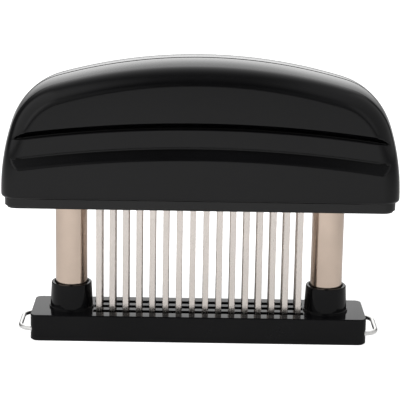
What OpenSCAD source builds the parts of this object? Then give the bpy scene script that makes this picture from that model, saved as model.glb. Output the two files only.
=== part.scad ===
// Blade meat tenderizer: a domed two-hand grip that is pressed down two steel tubes.
// Three rows of blades hang from the grip and pass through slots in a flat base bar.
// Millimetres. The origin is the middle of the base bar's underside, +Z is up,
// the long side runs along X and the front faces -Y. The grip is drawn raised.

/* [Base bar] */
// Distance from a tube's axis to the end of the bar
base_end = 14.7; // [13.2:0.1:20]
// Depth of the base bar, front to rear
base_d = 25.5; // [24:0.5:34]
// Height of the base bar
base_h = 10.1; // [9:0.1:14]
// Radius of the bar's corners, seen from above
base_corner_r = 2.5; // [1:0.1:3.5]
// Size of the small step round the bar's lower edge
base_step = 0.5; // [0.2:0.1:0.8]
// Thickness of the floor under each tube
socket_floor = 1.5; // [1:0.1:2]

/* [Tubes and their cups] */
// Distance from the last blade's edge to the axis of the tube
tube_gap = 9.6; // [9.4:0.1:12]
// Outer diameter of a tube
tube_d = 12; // [11:0.1:12.2]
// Wall of a tube
tube_wall = 0.8; // [0.6:0.05:1]
// Height of the cup that holds a tube, above the bar
cup_h = 9.9; // [7:0.1:13]
// Wall of the cup at its rim
cup_wall = 1.6; // [1:0.05:2]
// Growth of the cup's radius from rim to foot
cup_taper = 0.5; // [0.1:0.05:1]
// Height of the thin collar round the cup's foot
collar_h = 0.7; // [0.4:0.1:1.2]
// Radial play of a tube in its cup and of the grip on a tube
running_play = 0.05; // [0.02:0.01:0.1]
// Width of the visible ring gap in the mouth of a cup
mouth_gap = 0.4; // [0.2:0.05:0.6]
// Depth of that ring gap
mouth_depth = 1.6; // [1:0.1:4]

/* [Blades] */
// Blades in each row
blade_columns = 16; // [10:1:16]
// Distance from blade to blade along a row
blade_pitch = 5; // [4.2:0.05:5]
// Distance from row to row
row_pitch = 6.1; // [5.6:0.1:6.4]
// Width of a blade, along the row
blade_w = 2.2; // [1.8:0.05:2.6]
// Thickness of a blade
blade_t = 1.2; // [0.8:0.05:1.6]
// Height of the tips above the table while the grip is raised
tip_z = 1.5; // [1:0.1:4]
// Width of a blade's head
head_w = 3.6; // [3:0.1:4]
// Height of a blade's head
head_h = 2.5; // [1.5:0.1:3]
// Width of the long slots in the base bar
slot_w = 3; // [2.6:0.1:3.6]
// Free length of a base slot beyond the last blade
slot_end = 1; // [0.5:0.1:1.2]

/* [Stroke] */
// Travel of the grip from raised to pressed
stroke = 31; // [20:0.5:32]
// Gap between the grip and the cups when the grip is pressed
press_gap = 1; // [0.5:0.1:4]

/* [Grip shell] */
// Distance from a tube's axis to the widest end of the grip
grip_end = 25.6; // [25:0.1:30]
// Depth of the grip, front to rear
grip_d = 40; // [38:0.5:46]
// Height of the grip shell from its lower edge to the crest
grip_h = 50.1; // [50:0.1:56]
// Wall of the grip shell
grip_wall = 3.4; // [3:0.1:3.6]
// Radius of the long arch over the top
crest_r = 192; // [180:1:230]
// Radius of the shoulders between the top and the ends
shoulder_r = 24.8; // [9:0.1:30]
// Radius of the slightly bowed ends
side_r = 79; // [70:1:130]
// Height from the shell's lower edge down to the middle of the bowed ends, below zero when it lies above
side_drop = -1.6; // [-4:0.1:10]
// Radius across the top, front to rear
crown_r = 108; // [90:1:160]
// Radius of the edge between the top and the front or rear face
edge_r = 7; // [6.5:0.1:8.2]

/* [Finger grooves] */
// Radius of the arch that both grooves follow
groove_arch_r = 465; // [380:5:600]
// Height of the upper groove's sharp lower edge above the shell's lower edge
upper_groove_z = 26.8; // [24:0.1:29]
// Width of the upper groove
upper_groove_w = 2.5; // [1.5:0.1:3.5]
// Depth of the upper groove
upper_groove_depth = 2.4; // [0.8:0.1:2.6]
// Height of the lower groove's sharp upper edge above the shell's lower edge
lower_groove_z = 20.3; // [17:0.1:21]
// Width of the lower groove
lower_groove_w = 4.6; // [3.5:0.1:6.5]
// Depth of the lower groove
lower_groove_depth = 1.4; // [1:0.1:2.2]

/* [Bottom plate and carrier] */
// Height of the lip that shows under the shell
lip_h = 4; // [2.5:0.1:5]
// Distance from the shell's outside to the lip
lip_inset = 2.2; // [1.5:0.1:2.6]
// Height of the lip's stepped lower edge
lip_step = 0.8; // [0.4:0.1:1]
// Thickness of the plate that plugs into the shell
plate_t = 2.5; // [2:0.1:4]
// Play between that plate and the shell
plate_play = 0.15; // [0.1:0.05:0.4]
// Play between a blade and its slot in the plate
plate_slot_play = 0.4; // [0.2:0.05:0.6]
// Height of the blade carrier
carrier_h = 13; // [11:0.5:16]
// Depth of the blade carrier
carrier_d = 26; // [25:0.5:28]
// Length of the carrier beyond each tube's axis
carrier_end = 10.5; // [10:0.1:11]
// Thickness of the steel plate that clamps the blade heads
clamp_t = 2; // [1.5:0.1:3]
// Distance from the last blade to the end of the clamp plate
clamp_end = 2.5; // [2:0.1:4]

/* [Bushes and stops] */
// Wall of a guide bush
bush_wall = 1.25; // [1:0.05:1.4]
// Width of the bush's flange beyond its wall
flange_w = 1.1; // [0.8:0.05:1.2]
// Thickness of the bush's flange
flange_t = 1; // [0.8:0.1:1.2]
// Height of the ledge that the flange sits on, above the bottom plate
ledge_h = 1.5; // [1:0.1:2]
// Thickness of the stop ring
ring_t = 1; // [0.8:0.1:1.2]
// Width of the stop ring outside the tube
ring_w = 1.6; // [1:0.1:2]
// Depth of the stop ring's groove in the tube
ring_groove = 0.4; // [0.2:0.05:0.5]
// Opening of the stop ring
ring_gap = 3; // [2:0.5:5]
// Play between the stop ring and the clamp plate that passes it
ring_play = 0.4; // [0.3:0.05:0.6]
// Play round the bush's flange
flange_play = 0.1; // [0.05:0.05:0.2]
// Length of the tube above its stop ring
tube_end = 0.8; // [0.5:0.1:1]

/* [Springs] */
// Thickness of the spring wire
spring_wire_d = 1.2; // [0.8:0.1:1.4]
// Gap between a spring and the tube round it
spring_play = 0.6; // [0.4:0.05:0.8]
// Turns in each spring
spring_turns = 22; // [16:1:24]
// Gap between a spring's end and the cap or plug that it pushes on
spring_end_gap = 0.3; // [0.1:0.05:0.4]
// Radius of the stems that hold a spring straight
stem_r = 2.4; // [1.5:0.1:2.5]
// Length of the stem on the upper cap
cap_stem = 14; // [8:0.5:20]
// Thickness of the upper cap's disc
cap_t = 1.5; // [1:0.1:2]
// Gap between a spring's cap and the tube that it enters
cap_play = 0.4; // [0.35:0.05:0.8]
// Width of the pad under the crest outside the cap
pad_edge = 0.7; // [0.2:0.1:0.9]
// Height of the plug in the foot of a tube
plug_h = 5.5; // [5:0.1:8]
// Length of the stem on that plug
plug_stem = 5; // [3:0.5:10]

/* [Wire clips] */
// Thickness of the clip wire
clip_wire_d = 1.7; // [1.2:0.1:1.8]
// Height of the clip's middle above the table
clip_z = 4.2; // [4:0.1:4.6]
// Depth that a clip's leg bites into the tube
clip_bite = 0.9; // [0.6:0.05:1]
// Width of the clip's bow, over the middle of the wire
bow_w = 21; // [17:0.5:21]
// Distance that the bow stands out of the bar
bow_out = 5; // [4.5:0.1:9]
// Radius of the bow's corners
bow_r = 5; // [3:0.1:5.5]
// Radius of the bends between a leg and the bow
bend_r = 3; // [2.5:0.1:4]
// Length of a leg beyond the tube's axis, inwards
leg_in = 7.2; // [6:0.1:8]
// Length of a leg beyond the tube's axis, outwards
leg_out = 7.2; // [6.5:0.1:7.5]
// Play round the clip in its pocket
clip_play = 0.3; // [0.25:0.05:0.4]

/* [Fasteners] */
// Radius of the screw shanks
screw_r = 1.4; // [1:0.1:1.5]
// Radius of the screw heads
screw_head_r = 2.5; // [2:0.1:2.7]
// Height of the screw heads
screw_head_h = 1.5; // [1:0.1:1.7]
// Depth that a screw reaches into its boss
screw_grip = 7; // [5:0.5:9]
// Radius of the bosses in the shell
boss_r = 3.2; // [2.8:0.1:3.4]
// Height of the bosses in the shell
boss_h = 10; // [9.5:0.5:14]
// Thickness of the web between a boss and the shell's end
web_t = 1.7; // [1.2:0.1:2.4]
// Distance from the screws to the front and rear of the carrier
screw_edge = 2.5; // [2.2:0.1:3]
// Distance from the middle to the two outer pairs of clamp screws
clamp_screw_x = 33; // [30:0.5:34]
// Distance from the middle to the screws that hold the carrier
carrier_screw_x = 17; // [12:0.5:24]
// Distance from a shell screw to the end of the carrier
shell_screw_out = 5; // [4:0.1:5.5]
// Distance from the middle to the shell screws, front and rear
shell_screw_y = 9; // [7:0.1:10]
// Radius of the dowels between the two half shells
dowel_r = 1.3; // [1:0.1:1.5]
// Length of those dowels
dowel_l = 12; // [8:0.5:16]
// Distance from the middle to a dowel
dowel_x = 24; // [18:0.5:28]
// Distance from the crest down to a dowel
dowel_drop = 11; // [10:0.5:14]
// Play round a sunk screw head
head_play = 0.3; // [0.1:0.1:0.4]
// Width of the slots of the cross in a screw head
cross_w = 0.5; // [0.3:0.1:0.7]
// Length of the slots of that cross
cross_l = 3.2; // [2:0.1:3.8]

/* [Hidden] */
$fn = 64;
cut = 1;                 // how far a cutting solid reaches past what it cuts
left = -1;
right = 1;
front = -1;
rear = 1;

// Base and tubes
row_half = (blade_columns - 1) / 2 * blade_pitch;
tube_x = row_half + blade_w / 2 + tube_gap;
base_l = 2 * (tube_x + base_end);
grip_l = 2 * (tube_x + grip_end);
tube_r = tube_d / 2;
tube_inner_r = tube_r - tube_wall;
cup_rim_r = tube_r + cup_wall;
cup_foot_r = cup_rim_r + cup_taper;
cup_top = base_h + cup_h;
slot_half = row_half + blade_w / 2 + slot_end;

// Heights in the grip, from the bottom up
lip_z = cup_top + stroke + press_gap;
shell_z = lip_z + lip_h;
plate_top = shell_z + plate_t;
ledge_z = plate_top + ledge_h;
ring_z = ledge_z + flange_t;
tube_top = ring_z + ring_t + tube_end;
carrier_top = plate_top + carrier_h;
crest_z = shell_z + grip_h;
pad_z = tube_top + stroke + spring_end_gap;
cap_z = pad_z - cap_t;

// Bushes, rings and springs
bush_inner_r = tube_r + running_play;
bush_r = bush_inner_r + bush_wall;
flange_r = bush_r + flange_w;
ring_inner_r = tube_r - ring_groove;
ring_r = tube_r + ring_w;
cap_r = tube_inner_r - cap_play;
plug_top = socket_floor + plug_h;
spring_bottom = plug_top + spring_wire_d / 2;
spring_top = cap_z - spring_end_gap - spring_wire_d / 2;
spring_r = tube_inner_r - spring_play - spring_wire_d / 2;
spring_pitch = (spring_top - spring_bottom) / spring_turns;
rings_per_turn = 8;
wire_sides = 6;
bend_steps = 4;

// Wire clips
wire_r = clip_wire_d / 2;
leg_y = tube_r + wire_r - clip_bite;
bow_y = bow_w / 2;
bow_x = base_l / 2 + bow_out - wire_r;
bend_angle = acos(1 - (bow_y - leg_y) / (2 * bend_r));
bend_l = 2 * bend_r * sin(bend_angle);
pocket_h = clip_wire_d + 2 * clip_play;
notch_y = leg_y - wire_r - clip_play;

// Grip outline: an arch over the top, a shoulder and a bowed end, all tangent
crest_cz = crest_z - crest_r;
side_cx = grip_l / 2 - side_r;
side_cz = shell_z - side_drop;
centre_gap = norm([side_cx, side_cz - crest_cz]);
arch_reach = crest_r - shoulder_r;
side_reach = side_r - shoulder_r;
along = (arch_reach ^ 2 - side_reach ^ 2 + centre_gap ^ 2) / (2 * centre_gap);
aside = sqrt(arch_reach ^ 2 - along ^ 2);
shoulder_cx = (along * side_cx + aside * (side_cz - crest_cz)) / centre_gap;
shoulder_cz = crest_cz + (along * (side_cz - crest_cz) - aside * side_cx) / centre_gap;
crest_angle = atan2(shoulder_cz - crest_cz, shoulder_cx);
side_angle = atan2(shoulder_cz - side_cz, shoulder_cx - side_cx);
side_steps = 7;
shoulder_steps = 7;
crest_steps = 12;

// Depth of the grip: a gentle crown, then a round edge
crown_share = (grip_d / 2 - edge_r) / (crown_r - edge_r);
crown_angle = asin(crown_share);
edge_steps = 6;

// Fasteners
carrier_half = tube_x + carrier_end;
clamp_half = row_half + blade_w / 2 + clamp_end;
screw_y = carrier_d / 2 - screw_edge;
shell_screw_x = carrier_half + shell_screw_out;
clamp_screw_places = [for (x = [-clamp_screw_x, 0, clamp_screw_x], s = [front, rear]) [x, s * screw_y]];
carrier_screw_places = [for (x = [left, right], s = [front, rear]) [x * carrier_screw_x, s * screw_y]];
shell_screw_places = [for (x = [left, right], s = [front, rear]) [x * shell_screw_x, s * shell_screw_y]];
counterbore_r = screw_head_r + head_play;
pad_r = cap_r + pad_edge;

// Outline of the grip, moved inwards by inset and cut off level at floor_z
function arc(cx, cz, r, from, to, steps) =
    [for (i = [0:steps]) let (a = from + (to - from) * i / steps) [cx + r * cos(a), cz + r * sin(a)]];
function tail(list) = [for (i = [1:len(list) - 1]) list[i]];
function foot_angle(inset, floor_z) = asin((floor_z - side_cz) / (side_r - inset));
function half_outline(inset, floor_z) = concat(
    arc(side_cx, side_cz, side_r - inset, foot_angle(inset, floor_z), side_angle, side_steps),
    tail(arc(shoulder_cx, shoulder_cz, shoulder_r - inset, side_angle, crest_angle, shoulder_steps)),
    tail(arc(0, crest_cz, crest_r - inset, crest_angle, 90, crest_steps)));
function outline(inset, floor_z) = let (h = half_outline(inset, floor_z))
    concat(h, [for (i = [len(h) - 2:-1:0]) [-h[i][0], h[i][1]]]);

// Distance from the middle and inset of the outline, at one angle round the crown and edge
function crown_station(wall, a) = [(crown_r - wall) * sin(a), wall + (crown_r - wall) * (1 - cos(a))];
function edge_station(wall, a) = crown_station(wall, crown_angle)
    + (edge_r - wall) * [sin(a) - sin(crown_angle), cos(crown_angle) - cos(a)];
function stations(wall, overlap) = concat(
    overlap > 0 ? [[-overlap, wall]] : [],
    [for (i = [0:2]) crown_station(wall, crown_angle * i / 2)],
    [for (i = [1:edge_steps]) edge_station(wall, crown_angle + (90 - crown_angle) * i / edge_steps)]);

// One half of the domed grip as a solid, from the middle plane to the front face
module half_dome(wall, overlap, floor_z) {
    steps = stations(wall, overlap);
    loops = [for (s = steps) [for (p = outline(s[1], floor_z)) [p[0], -s[0], p[1]]]];
    n = len(loops[0]);
    last = len(loops) - 1;
    skin = [for (k = [0:last - 1], i = [0:n - 1]) let (j = (i + 1) % n)
        each [[k * n + i, (k + 1) * n + i, (k + 1) * n + j], [k * n + i, (k + 1) * n + j, k * n + j]]];
    rear_cap = [[for (i = [0:n - 1]) i]];
    front_cap = [[for (i = [n - 1:-1:0]) last * n + i]];
    polyhedron([for (loop = loops) each loop], concat(rear_cap, skin, front_cap));
}

// A rounded rectangle, with its round corners kept true
module rounded_rect(l, d, r) {
    square([l - 2 * r, d], center = true);
    square([l, d - 2 * r], center = true);
    for (x = [left, right], y = [front, rear])
        translate([x * (l / 2 - r), y * (d / 2 - r)]) circle(r);
}

module slab(l, d, r, from, to) {
    translate([0, 0, from]) linear_extrude(to - from) rounded_rect(l, d, r);
}

// A straight hole or shaft between two heights
module column(r, from, to) {
    translate([0, 0, from]) cylinder(r = r, h = to - from);
}

module at_tube(side) {
    translate([side * tube_x, 0, 0]) children();
}

module at_places(places) {
    for (p = places) translate([p[0], p[1], 0]) children();
}

// Groove in the front face: deepest at one sharp edge, from which a slope runs out up or down
module groove(edge_z, rise, depth) {
    translate([0, -grip_d / 2 + depth, shell_z + edge_z - groove_arch_r])
        rotate([90, 0, 0])
        rotate_extrude($fn = 240)
        polygon([
            [groove_arch_r, 0],
            [groove_arch_r + rise, depth],
            [groove_arch_r + rise, depth + cut],
            [groove_arch_r, depth + cut]]);
}

// Boss for one shell screw, with the web that ties it to the end wall
module screw_boss(side) {
    difference() {
        intersection() {
            union() {
                translate([side * shell_screw_x, -shell_screw_y, 0])
                    column(boss_r, plate_top, plate_top + boss_h);
                translate([side > 0 ? shell_screw_x : -grip_l / 2, -shell_screw_y - web_t / 2, plate_top])
                    cube([grip_l / 2 - shell_screw_x, web_t, boss_h]);
            }
            half_dome(grip_wall / 2, 0, shell_z);
        }
        translate([side * shell_screw_x, -shell_screw_y, 0])
            column(screw_r, plate_top - cut, plate_top + screw_grip);
    }
}

// Flat pad under the crest that a spring's cap pushes on
module spring_pad(side) {
    intersection() {
        at_tube(side) column(pad_r, pad_z, crest_z);
        half_dome(grip_wall / 2, 0, shell_z);
    }
}

module dowel_boss(side) {
    difference() {
        translate([side * dowel_x, 0, crest_z - dowel_drop]) rotate([90, 0, 0])
            cylinder(r = boss_r, h = grip_d / 2 - grip_wall / 2);
        translate([side * dowel_x, cut, crest_z - dowel_drop]) rotate([90, 0, 0])
            cylinder(r = dowel_r, h = dowel_l / 2 + cut);
    }
}

module half_shell() {
    difference() {
        half_dome(0, 0, shell_z);
        half_dome(grip_wall, cut, shell_z - cut);
        groove(upper_groove_z, upper_groove_w, upper_groove_depth);
        groove(lower_groove_z, -lower_groove_w, lower_groove_depth);
    }
    for (side = [left, right]) {
        screw_boss(side);
        spring_pad(side);
        dowel_boss(side);
    }
}

module grip_front_shell() {
    color("#1b1b1d") half_shell();
}

module grip_rear_shell() {
    color("#1b1b1d") mirror([0, 1, 0]) half_shell();
}

module blade_slots(width, half_length, from, to) {
    for (y = [-row_pitch, 0, row_pitch])
        translate([-half_length, y - width / 2, from]) cube([2 * half_length, width, to - from]);
}

module grip_bottom_plate() {
    lip_l = grip_l - 2 * lip_inset;
    lip_d = grip_d - 2 * lip_inset;
    lip_corner_r = edge_r - lip_inset;
    plug_l = grip_l - 2 * (grip_wall + plate_play);
    plug_d = grip_d - 2 * (grip_wall + plate_play);
    color("#1f1f21") difference() {
        union() {
            slab(lip_l - 2 * lip_step, lip_d - 2 * lip_step, lip_corner_r - lip_step, lip_z, lip_z + lip_step);
            slab(lip_l, lip_d, lip_corner_r, lip_z + lip_step, shell_z);
            intersection() {
                slab(plug_l, plug_d, edge_r - grip_wall, shell_z, plate_top);
                union() {
                    half_dome(grip_wall + plate_play, 0, shell_z);
                    mirror([0, 1, 0]) half_dome(grip_wall + plate_play, 0, shell_z);
                }
            }
        }
        blade_slots(blade_t + 2 * plate_slot_play, slot_half, lip_z - cut, plate_top + cut);
        for (side = [left, right]) at_tube(side) column(bush_r, lip_z - cut, plate_top + cut);
        at_places(concat(carrier_screw_places, shell_screw_places)) {
            column(screw_r, lip_z - cut, plate_top + cut);
            column(counterbore_r, lip_z - cut, lip_z + screw_head_h + lip_step);
        }
    }
}

// Block that holds the blades and guides the grip on the tubes
module blade_carrier() {
    color("#2b2b2e") difference() {
        translate([-carrier_half, -carrier_d / 2, plate_top]) cube([2 * carrier_half, carrier_d, carrier_h]);
        for (side = [left, right]) at_tube(side) {
            column(bush_r, plate_top - cut, ledge_z + cut);
            column(flange_r + flange_play, ledge_z, carrier_top + cut);
        }
        for (y = [-row_pitch, 0, row_pitch], i = [0:blade_columns - 1])
            translate([i * blade_pitch - row_half - blade_w / 2, y - blade_t / 2, plate_top - cut])
                cube([blade_w, blade_t, carrier_h + 2 * cut]);
        blade_slots(blade_t, row_half + head_w / 2, carrier_top - head_h, carrier_top + cut);
        at_places(clamp_screw_places) column(screw_r, carrier_top - screw_grip, carrier_top + cut);
        at_places(carrier_screw_places) column(screw_r, plate_top - cut, plate_top + screw_grip);
    }
}

module blade_clamp_plate() {
    color("#b9bbbd") difference() {
        translate([-clamp_half, -carrier_d / 2, carrier_top]) cube([2 * clamp_half, carrier_d, clamp_t]);
        for (side = [left, right]) at_tube(side)
            column(ring_r + ring_play, carrier_top - cut, carrier_top + clamp_t + cut);
        at_places(clamp_screw_places) column(screw_r, carrier_top - cut, carrier_top + clamp_t + cut);
    }
}

// One blade: a flat strip with a slanted tip and a wide head
module blade() {
    translate([0, blade_t / 2, 0]) rotate([90, 0, 0]) linear_extrude(blade_t) polygon([
        [-blade_w / 2, tip_z],
        [blade_w / 2, tip_z + blade_w],
        [blade_w / 2, carrier_top - head_h],
        [head_w / 2, carrier_top - head_h],
        [head_w / 2, carrier_top],
        [-head_w / 2, carrier_top],
        [-head_w / 2, carrier_top - head_h],
        [-blade_w / 2, carrier_top - head_h]]);
}

module blade_row(y) {
    color("#cfc9c6") for (i = [0:blade_columns - 1])
        translate([i * blade_pitch - row_half, y, 0]) blade();
}

module base_bar() {
    color("#222224") difference() {
        union() {
            slab(base_l - 2 * base_step, base_d - 2 * base_step, base_corner_r, 0, base_step);
            slab(base_l, base_d, base_corner_r, base_step, base_h);
            for (side = [left, right]) at_tube(side) {
                column(cup_foot_r + collar_h / 2, base_h, base_h + collar_h);
                translate([0, 0, base_h]) cylinder(r1 = cup_foot_r, r2 = cup_rim_r, h = cup_h);
            }
        }
        blade_slots(slot_w, slot_half, -cut, base_h + cut);
        for (side = [left, right]) {
            at_tube(side) {
                column(tube_r, socket_floor, cup_top + cut);
                column(tube_r + mouth_gap, cup_top - mouth_depth, cup_top + cut);
            }
            clip_pocket(side);
        }
    }
}

// Flat pocket in the end of the bar that a wire clip slides in
module clip_pocket(side) {
    pocket_start = tube_x - leg_in - clip_play;
    pocket_l = base_l / 2 + cut - pocket_start;
    pocket_d = bow_w + clip_wire_d + 2 * clip_play;
    translate([side > 0 ? pocket_start : -pocket_start - pocket_l, -pocket_d / 2, clip_z - pocket_h / 2])
        cube([pocket_l, pocket_d, pocket_h]);
}

// Cross cuts on both sides of a tube's foot, where the clip's legs pass
module leg_notches() {
    for (s = [front, rear])
        translate([-tube_d, s > 0 ? notch_y : -notch_y - tube_d, clip_z - pocket_h / 2])
            cube([2 * tube_d, tube_d, pocket_h]);
}

module tube(side) {
    color("#c9bcac") at_tube(side) difference() {
        column(tube_r, socket_floor, tube_top);
        column(tube_inner_r, socket_floor - cut, tube_top + cut);
        difference() {
            column(tube_r + cut, ring_z, ring_z + ring_t);
            column(ring_inner_r, ring_z - cut, ring_z + ring_t + cut);
        }
        leg_notches();
    }
}

module tube_plug(side) {
    color("#3a3a3c") at_tube(side) difference() {
        union() {
            column(tube_inner_r, socket_floor, plug_top);
            column(stem_r, plug_top, plug_top + plug_stem);
        }
        leg_notches();
    }
}

module stop_ring(side) {
    color("#9a9c9e") at_tube(side) difference() {
        column(ring_r, ring_z, ring_z + ring_t);
        column(ring_inner_r, ring_z - cut, ring_z + ring_t + cut);
        translate([-ring_gap / 2, 0, ring_z - cut]) cube([ring_gap, 2 * ring_r, ring_t + 2 * cut]);
    }
}

module guide_bush(side) {
    color("#e6e2d8") at_tube(side) difference() {
        union() {
            column(bush_r, lip_z, ledge_z);
            column(flange_r, ledge_z, ring_z);
        }
        column(bush_inner_r, lip_z - cut, ring_z + cut);
    }
}

module spring_cap(side) {
    color("#3a3a3c") at_tube(side) {
        column(cap_r, cap_z, pad_z);
        column(stem_r, cap_z - cap_stem, cap_z);
    }
}

// One unbroken round wire along a path, with a ring of points at each step
function wire_ring(path, k, r) = let (
    n = len(path) - 1,
    ahead = path[min(k + 1, n)] - path[max(k - 1, 0)],
    sideways = cross(ahead, [0, 0, 1]) / norm(cross(ahead, [0, 0, 1])),
    up = cross(sideways, ahead) / norm(ahead))
    [for (i = [0:wire_sides - 1]) let (b = 360 * i / wire_sides)
        path[k] + r * (cos(b) * sideways + sin(b) * up)];

module wire(path, r) {
    last = len(path) - 1;
    n = wire_sides;
    skin = [for (k = [0:last - 1], i = [0:n - 1]) let (j = (i + 1) % n)
        each [[k * n + i, (k + 1) * n + i, (k + 1) * n + j], [k * n + i, (k + 1) * n + j, k * n + j]]];
    ends = [[for (i = [0:n - 1]) i], [for (i = [n - 1:-1:0]) last * n + i]];
    polyhedron([for (k = [0:last]) each wire_ring(path, k, r)], concat(ends, skin));
}

// Coil spring; the echo gives the least gap between two turns
module spring(side) {
    path = [for (k = [0:spring_turns * rings_per_turn]) let (a = 360 * k / rings_per_turn)
        [spring_r * cos(a), spring_r * sin(a), spring_bottom + spring_pitch * k / rings_per_turn]];
    least_gap = min([for (k = [0:len(path) - 1 - rings_per_turn])
        norm(path[k + rings_per_turn] - path[k])]) - spring_wire_d;
    echo(least_gap_between_turns = least_gap);
    color("#b0b2b4") at_tube(side) wire(path, spring_wire_d / 2);
}

// Wire clip: two legs that pass the tube, bends outwards, and a bow to pull it by
module wire_clip(side) {
    bend_x = tube_x + leg_out;
    wide_x = bend_x + bend_l;
    half = concat(
        [[tube_x - leg_in, leg_y]],
        arc(bend_x, leg_y + bend_r, bend_r, -90, bend_angle - 90, bend_steps),
        tail(arc(wide_x, bow_y - bend_r, bend_r, 90 + bend_angle, 90, bend_steps)),
        arc(bow_x - bow_r, bow_y - bow_r, bow_r, 90, 0, 2 * bend_steps));
    loop = concat(half, [for (i = [len(half) - 1:-1:0]) [half[i][0], -half[i][1]]]);
    path = [for (p = loop) [p[0], p[1], clip_z]];
    color("#cdd0d2") mirror([side > 0 ? 0 : 1, 0, 0]) wire(path, wire_r);
}

// Round-headed screw with a cross in its head; the head is below when direction is up
module screw(head_z, shank_end) {
    up = shank_end > head_z ? 1 : -1;
    difference() {
        union() {
            column(screw_r, min(head_z, shank_end), max(head_z, shank_end));
            column(screw_head_r, head_z - (up > 0 ? screw_head_h : 0), head_z + (up > 0 ? 0 : screw_head_h));
        }
        for (turn = [0, 90])
            rotate([0, 0, turn])
                translate([0, 0, head_z - up * screw_head_h])
                cube([cross_l, cross_w, screw_head_h], center = true);
    }
}

module clamp_screws() {
    color("#8f9194") at_places(clamp_screw_places)
        screw(carrier_top + clamp_t, carrier_top - screw_grip);
}

module carrier_screws() {
    color("#8f9194") at_places(carrier_screw_places)
        screw(lip_z + screw_head_h + lip_step, plate_top + screw_grip);
}

module shell_screws() {
    color("#8f9194") at_places(shell_screw_places)
        screw(lip_z + screw_head_h + lip_step, plate_top + screw_grip);
}

module crest_dowels() {
    color("#8f9194") for (side = [left, right])
        translate([side * dowel_x, dowel_l / 2, crest_z - dowel_drop]) rotate([90, 0, 0])
            cylinder(r = dowel_r, h = dowel_l);
}

base_bar();
tube(left);  // left_tube
tube(right);  // right_tube
tube_plug(left);  // left_tube_plug
tube_plug(right);  // right_tube_plug
stop_ring(left);  // left_stop_ring
stop_ring(right);  // right_stop_ring
spring(left);  // left_spring
spring(right);  // right_spring
wire_clip(left);  // left_wire_clip
wire_clip(right);  // right_wire_clip
grip_front_shell();
grip_rear_shell();
grip_bottom_plate();
blade_carrier();
blade_clamp_plate();
blade_row(-row_pitch);  // front_blades
blade_row(0);  // middle_blades
blade_row(row_pitch);  // rear_blades
guide_bush(left);  // left_guide_bush
guide_bush(right);  // right_guide_bush
spring_cap(left);  // left_spring_cap
spring_cap(right);  // right_spring_cap
crest_dowels();
clamp_screws();
carrier_screws();
shell_screws();
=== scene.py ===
from math import acos, asin, atan2, cos, hypot, pi, radians, sin, sqrt

import bmesh
import bpy
from mathutils import Matrix, Vector
from mathutils.geometry import delaunay_2d_cdt


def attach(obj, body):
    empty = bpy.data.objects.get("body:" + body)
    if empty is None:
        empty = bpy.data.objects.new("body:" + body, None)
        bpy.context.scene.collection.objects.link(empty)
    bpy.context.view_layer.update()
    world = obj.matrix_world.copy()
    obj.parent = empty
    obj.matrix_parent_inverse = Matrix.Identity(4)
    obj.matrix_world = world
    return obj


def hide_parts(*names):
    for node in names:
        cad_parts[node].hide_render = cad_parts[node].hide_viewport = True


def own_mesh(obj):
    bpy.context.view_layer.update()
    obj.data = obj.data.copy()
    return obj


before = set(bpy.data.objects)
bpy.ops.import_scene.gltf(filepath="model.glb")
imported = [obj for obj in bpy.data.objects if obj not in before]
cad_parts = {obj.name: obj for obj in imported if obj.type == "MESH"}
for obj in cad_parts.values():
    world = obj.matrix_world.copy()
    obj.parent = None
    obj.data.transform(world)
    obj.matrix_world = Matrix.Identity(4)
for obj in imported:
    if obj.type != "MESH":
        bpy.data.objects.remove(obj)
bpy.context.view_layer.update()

mm = 0.001
tubeX = 48.2  # mm, from the middle to each tube's axis
scene = bpy.context.scene
print("frame loaded:", len(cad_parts), "CAD nodes")


# camera, floor and light

camera = {
    "eye": (-2.25, -594.9, 195.4),  # mm
    "right": (0.99988, 0.0001, 0.01575),
    "up": (-0.01534, 0.23405, 0.97210),
    "ahead": (0.00359, 0.97222, -0.23403),
    "lens": 146.96,
    "sensor": 36.0,
}


def makeCamera():
    data = bpy.data.cameras.new("photoCamera")
    data.lens = camera["lens"]
    data.sensor_width = camera["sensor"]
    data.clip_start = 0.01
    eye = bpy.data.objects.new("photoCamera", data)
    scene.collection.objects.link(eye)
    right, up, ahead = (Vector(camera[k]).normalized() for k in ("right", "up", "ahead"))
    turn = Matrix((right, up, -ahead)).transposed().to_4x4()
    eye.matrix_world = Matrix.Translation(Vector(camera["eye"]) * mm) @ turn
    scene.camera = eye


studio = {
    "floorSize": 6.0,
    "floorDrop": 0.0001,  # keeps the floor off the base bar
    "floorColour": (0.8, 0.8, 0.8),
    "floorGlow": 0.9,  # lifts the floor to white for the eye
    "glossGlow": 0.06,  # and a little in reflections
    "roomLight": 0.2,  # soft light from all round
}
# what gloss sees of the room, by the direction it looks in: each part fades in between two levels
room = {
    "walls": 0.09,
    "parts": (
        {"glow": 0.13, "z": (0.30, 0.75)},  # overhead
        # large soft box above and behind
        {"glow": 1.82, "y": (-0.50, 1.16), "z": (0.28, 0.61), "x": (0.78, -0.05)},
        # lit strip low behind
        {"glow": 1.62, "y": (0.50, 0.90), "z": (-0.16, 0.12), "top": (0.49, 0.22), "x": (0.42, 0.12)},
    ),
    # turn and height of the middle, and how far from it the glow begins and is full, in degrees
    "softBoxes": (
        {"turn": -120, "height": 23, "edge": (50, 30), "glow": 0.86},
        {"turn": 108, "height": 15, "edge": (62, 48), "glow": 0.47},
        {"turn": -160, "height": 4, "edge": (19, 12), "glow": 0.40},
        {"turn": 160, "height": 4, "edge": (19, 12), "glow": 0.20},
    ),
}


def addNode(tree, kind, **settings):
    made = tree.nodes.new(kind)
    for key, value in settings.items():
        if hasattr(made, key):
            setattr(made, key, value)
        else:
            made.inputs[key].default_value = value
    return made


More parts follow.
